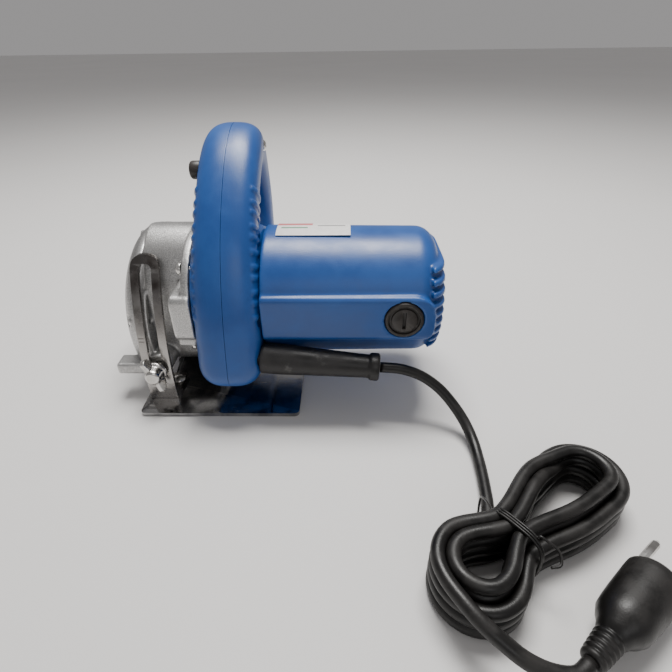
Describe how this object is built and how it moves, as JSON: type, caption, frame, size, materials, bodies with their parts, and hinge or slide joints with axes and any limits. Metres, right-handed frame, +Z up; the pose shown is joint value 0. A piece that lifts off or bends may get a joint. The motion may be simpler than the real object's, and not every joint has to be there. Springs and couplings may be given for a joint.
{
  "type": "trim saw",
  "caption": "Compact hand-held circular saw with a transverse motor, looped handle, cast blade case, slotted depth guide, flat base plate and supply cord.",
  "frame": {"origin": "centre of the base plate's bottom face", "axes": "+Z up, +Y along the cutting direction, +X towards the motor's end"},
  "size_m": [0.3046, 0.3528, 0.1619],
  "materials": {
    "blue_housing": "semi-gloss moulded nylon, fine texture",
    "cast_alloy": "sand-cast, tumbled, speckled",
    "plated_steel": "bright zinc plate with handling marks",
    "base_steel": "polished, dark reflection",
    "dark_steel": "oiled machined steel",
    "black_rubber": "satin rubber",
    "black_plastic": "satin moulded plastic",
    "brass": "machined",
    "copper": "enamelled copper winding",
    "carbon": "pressed carbon",
    "label_paper": "printed film, blank stripes"
  },
  "bodies": {
    "base": {"base_plate": "base_steel", "pivot_bracket": "plated_steel", "pivot_pin": "plated_steel", "pivot_nut": "plated_steel", "depth_guide": "plated_steel", "guide_rivet_1": "plated_steel", "guide_rivet_2": "plated_steel", "bracket_rivet_1": "plated_steel", "cord_run": "black_rubber", "cord_hank": "black_rubber", "cord_tail": "black_rubber", "plug_body": "black_rubber", "plug_pin_1": "plated_steel", "plug_pin_2": "plated_steel"},
    "wing_bolt": {"wing_bolt": "plated_steel"},
    "armature": {"pinion": "dark_steel", "fan": "black_plastic", "armature_core": "dark_steel", "commutator": "copper", "armature_shaft": "dark_steel"},
    "arbor": {"spindle": "dark_steel", "spindle_gear": "dark_steel", "inner_flange": "plated_steel", "outer_flange": "plated_steel", "clamp_bolt": "plated_steel"},
    "trigger": {"trigger": "black_plastic"},
    "lock_button": {"lock_button": "black_plastic"},
    "saw": {"gear_housing": "cast_alloy", "flange_screw_1": "plated_steel", "flange_screw_2": "plated_steel", "blade_case": "cast_alloy", "case_screw_1": "plated_steel", "case_screw_2": "plated_steel", "case_screw_3": "plated_steel", "bearing_retainer": "cast_alloy", "retainer_screw_1": "plated_steel", "retainer_screw_2": "plated_steel", "retainer_screw_3": "plated_steel", "spindle_bearing": "plated_steel", "spindle_bush": "plated_steel", "armature_bearing_front": "plated_steel", "handle_left": "blue_housing", "handle_right": "blue_housing", "handle_screw_1": "plated_steel", "handle_screw_2": "plated_steel", "switch_body": "black_plastic", "cord_guard": "black_rubber", "motor_housing": "blue_housing", "brush_cap_rear": "black_plastic", "brush_holder_rear": "brass", "carbon_brush_rear": "carbon", "brush_cap_front": "black_plastic", "brush_holder_front": "brass", "carbon_brush_front": "carbon", "stator_core": "dark_steel", "field_coil_upper": "copper", "field_coil_lower": "copper", "fan_baffle": "black_plastic", "armature_bearing_rear": "plated_steel", "rating_label": "label_paper"}
  },
  "joints": [
    {"name": "depth", "type": "hinge", "parent": "base", "child": "saw", "pos_m": [-0.022, 0.084, 0.016], "axis": [-1, 0, 0], "range_deg": [-1.5, 22]},
    {"name": "wing_bolt_turn", "type": "hinge", "parent": "saw", "child": "wing_bolt", "pos_m": [-0.04, -0.085, 0.027], "axis": [0, -1, 0], "range_deg": [0, 180]},
    {"name": "arbor_spin", "type": "hinge", "parent": "saw", "child": "arbor", "pos_m": [-0.04, -0.02, 0.042], "axis": [1, 0, 0], "continuous": true},
    {"name": "armature_spin", "type": "hinge", "parent": "saw", "child": "armature", "pos_m": [0.07, -0.05, 0.0676], "axis": [1, 0, 0], "continuous": true},
    {"name": "trigger_pull", "type": "slide", "parent": "saw", "child": "trigger", "axis": [0, -0.6332, 0.774], "range_m": [0, 0.0042], "stiffness_N_per_m": 600, "springref_m": -0.002},
    {"name": "lock_press", "type": "slide", "parent": "saw", "child": "lock_button", "axis": [1, 0, 0], "range_m": [0, 0.0035], "stiffness_N_per_m": 300, "springref_m": -0.001}
  ],
  "couplings": [
    {"joint": "arbor_spin", "follows": "armature_spin", "ratio": -0.36364}
  ]
}
